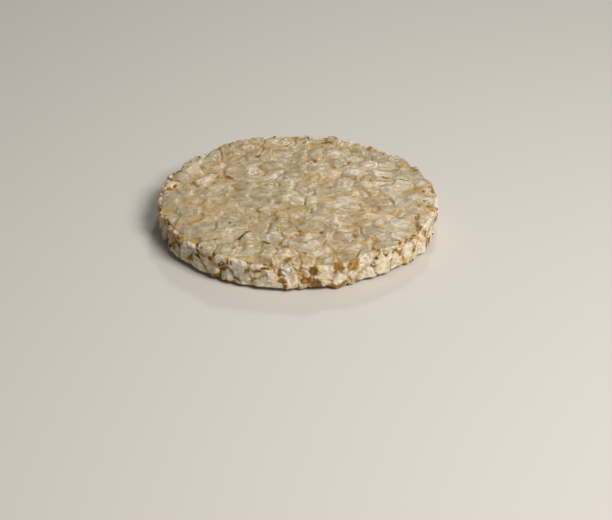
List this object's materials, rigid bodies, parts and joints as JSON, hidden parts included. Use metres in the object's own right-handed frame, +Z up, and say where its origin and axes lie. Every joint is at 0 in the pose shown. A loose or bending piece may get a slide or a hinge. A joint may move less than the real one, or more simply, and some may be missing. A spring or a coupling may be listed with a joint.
{
  "type": "puffed rice cake",
  "caption": "Round flat cake of puffed wholegrain rice, with pressed mosaic faces and a lumpy, bran-flecked wall.",
  "frame": {"origin": "middle of the underside, on the plane that the cake rests on", "axes": "+Z up through the two pressed faces, +X and +Y across the cake"},
  "size_m": [0.096, 0.0948, 0.011],
  "materials": {
    "puffed_starch": "dry puffed rice starch, pale cream, faintly glossy where the plates pressed it",
    "bran": "toasted rice bran, brown flakes with a slight gloss",
    "husk": "thin golden grain skin, translucent"
  },
  "bodies": {
    "root": {"rice_cake": "puffed_starch"}
  },
  "joints": []
}
